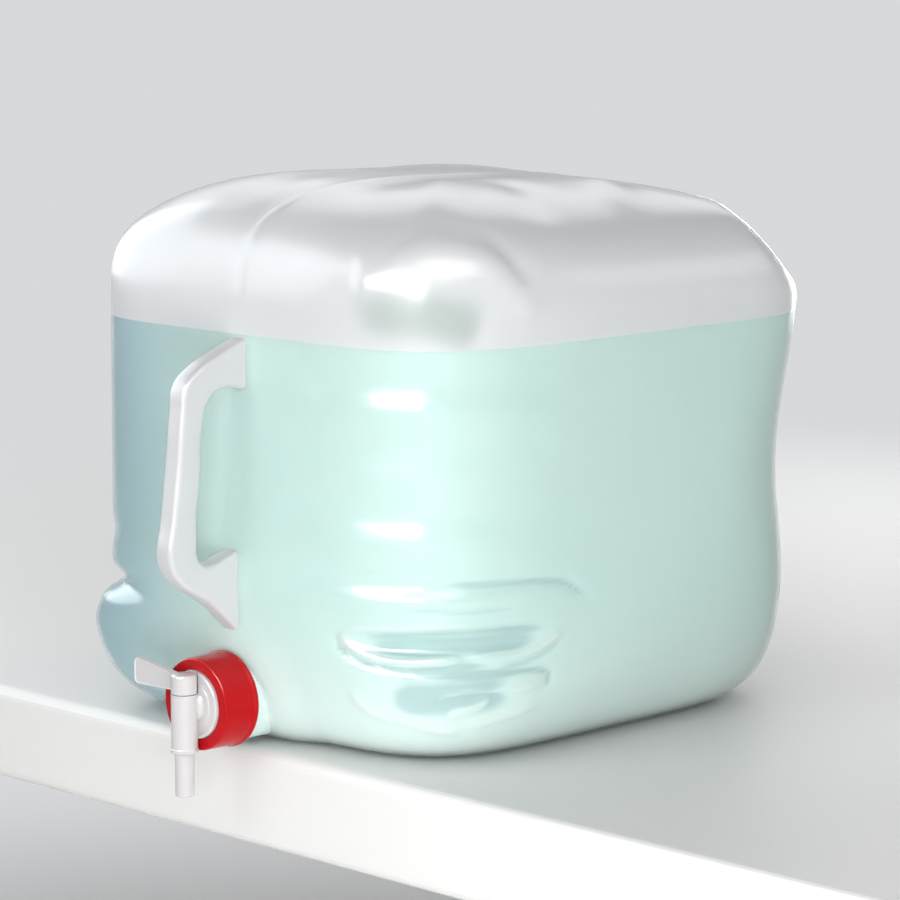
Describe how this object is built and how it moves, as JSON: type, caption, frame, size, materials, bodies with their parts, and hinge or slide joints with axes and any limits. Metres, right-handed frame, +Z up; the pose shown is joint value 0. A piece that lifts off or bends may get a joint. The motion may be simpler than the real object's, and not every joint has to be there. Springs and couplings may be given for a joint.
{
  "type": "collapsible water carrier",
  "caption": "Collapsible blow-moulded water tank with two end handles, a threaded neck, a red cap ring and a turning spigot with a wing lever.",
  "frame": {"origin": "centre of the tank's flat base, on the surface that it rests on", "axes": "+Z up; -Y out of the neck and the spigot, which are on the front wall; +X to the right seen from the front"},
  "size_m": [0.274, 0.392, 0.297],
  "materials": {
    "milky_film": "milky translucent blow-moulded film, soft sheen",
    "white_moulding": "satin moulded, slightly translucent",
    "spigot_white": "glossy moulded",
    "red_cap": "satin moulded",
    "gasket_rubber": "matt"
  },
  "bodies": {
    "front_shell": {"tank_front": "milky_film", "tank_fold_wall": "milky_film", "front_handle": "white_moulding"},
    "rear_shell": {"tank_rear": "milky_film", "rear_handle": "white_moulding"},
    "gasket": {"neck_gasket": "gasket_rubber"},
    "cap": {"cap_ring": "red_cap"},
    "spigot": {"spigot_body": "spigot_white"},
    "valve": {"valve_plug": "spigot_white"}
  },
  "joints": [
    {"name": "tank_collapse", "type": "slide", "parent": "front_shell", "child": "rear_shell", "axis": [0, -1, 0], "range_m": [0, 0.15], "deforming": ["tank_fold_wall"]},
    {"name": "spigot_draw", "type": "slide", "parent": "front_shell", "child": "gasket", "axis": [0, -1, 0], "range_m": [0, 0.012]},
    {"name": "cap_turn", "type": "hinge", "parent": "gasket", "child": "cap", "pos_m": [0, -0.149, 0.0246], "axis": [0, -1, 0], "range_deg": [0, 720]},
    {"name": "spigot_swivel", "type": "hinge", "parent": "gasket", "child": "spigot", "pos_m": [0, -0.149, 0.0246], "axis": [0, -1, 0], "continuous": true},
    {"name": "valve_turn", "type": "hinge", "parent": "spigot", "child": "valve", "pos_m": [0, -0.1837, 0.02], "axis": [0, 0, 1], "range_deg": [0, 90]}
  ],
  "couplings": [
    {"joint": "spigot_draw", "follows": "cap_turn", "m_per_rad": 0.0009549}
  ]
}
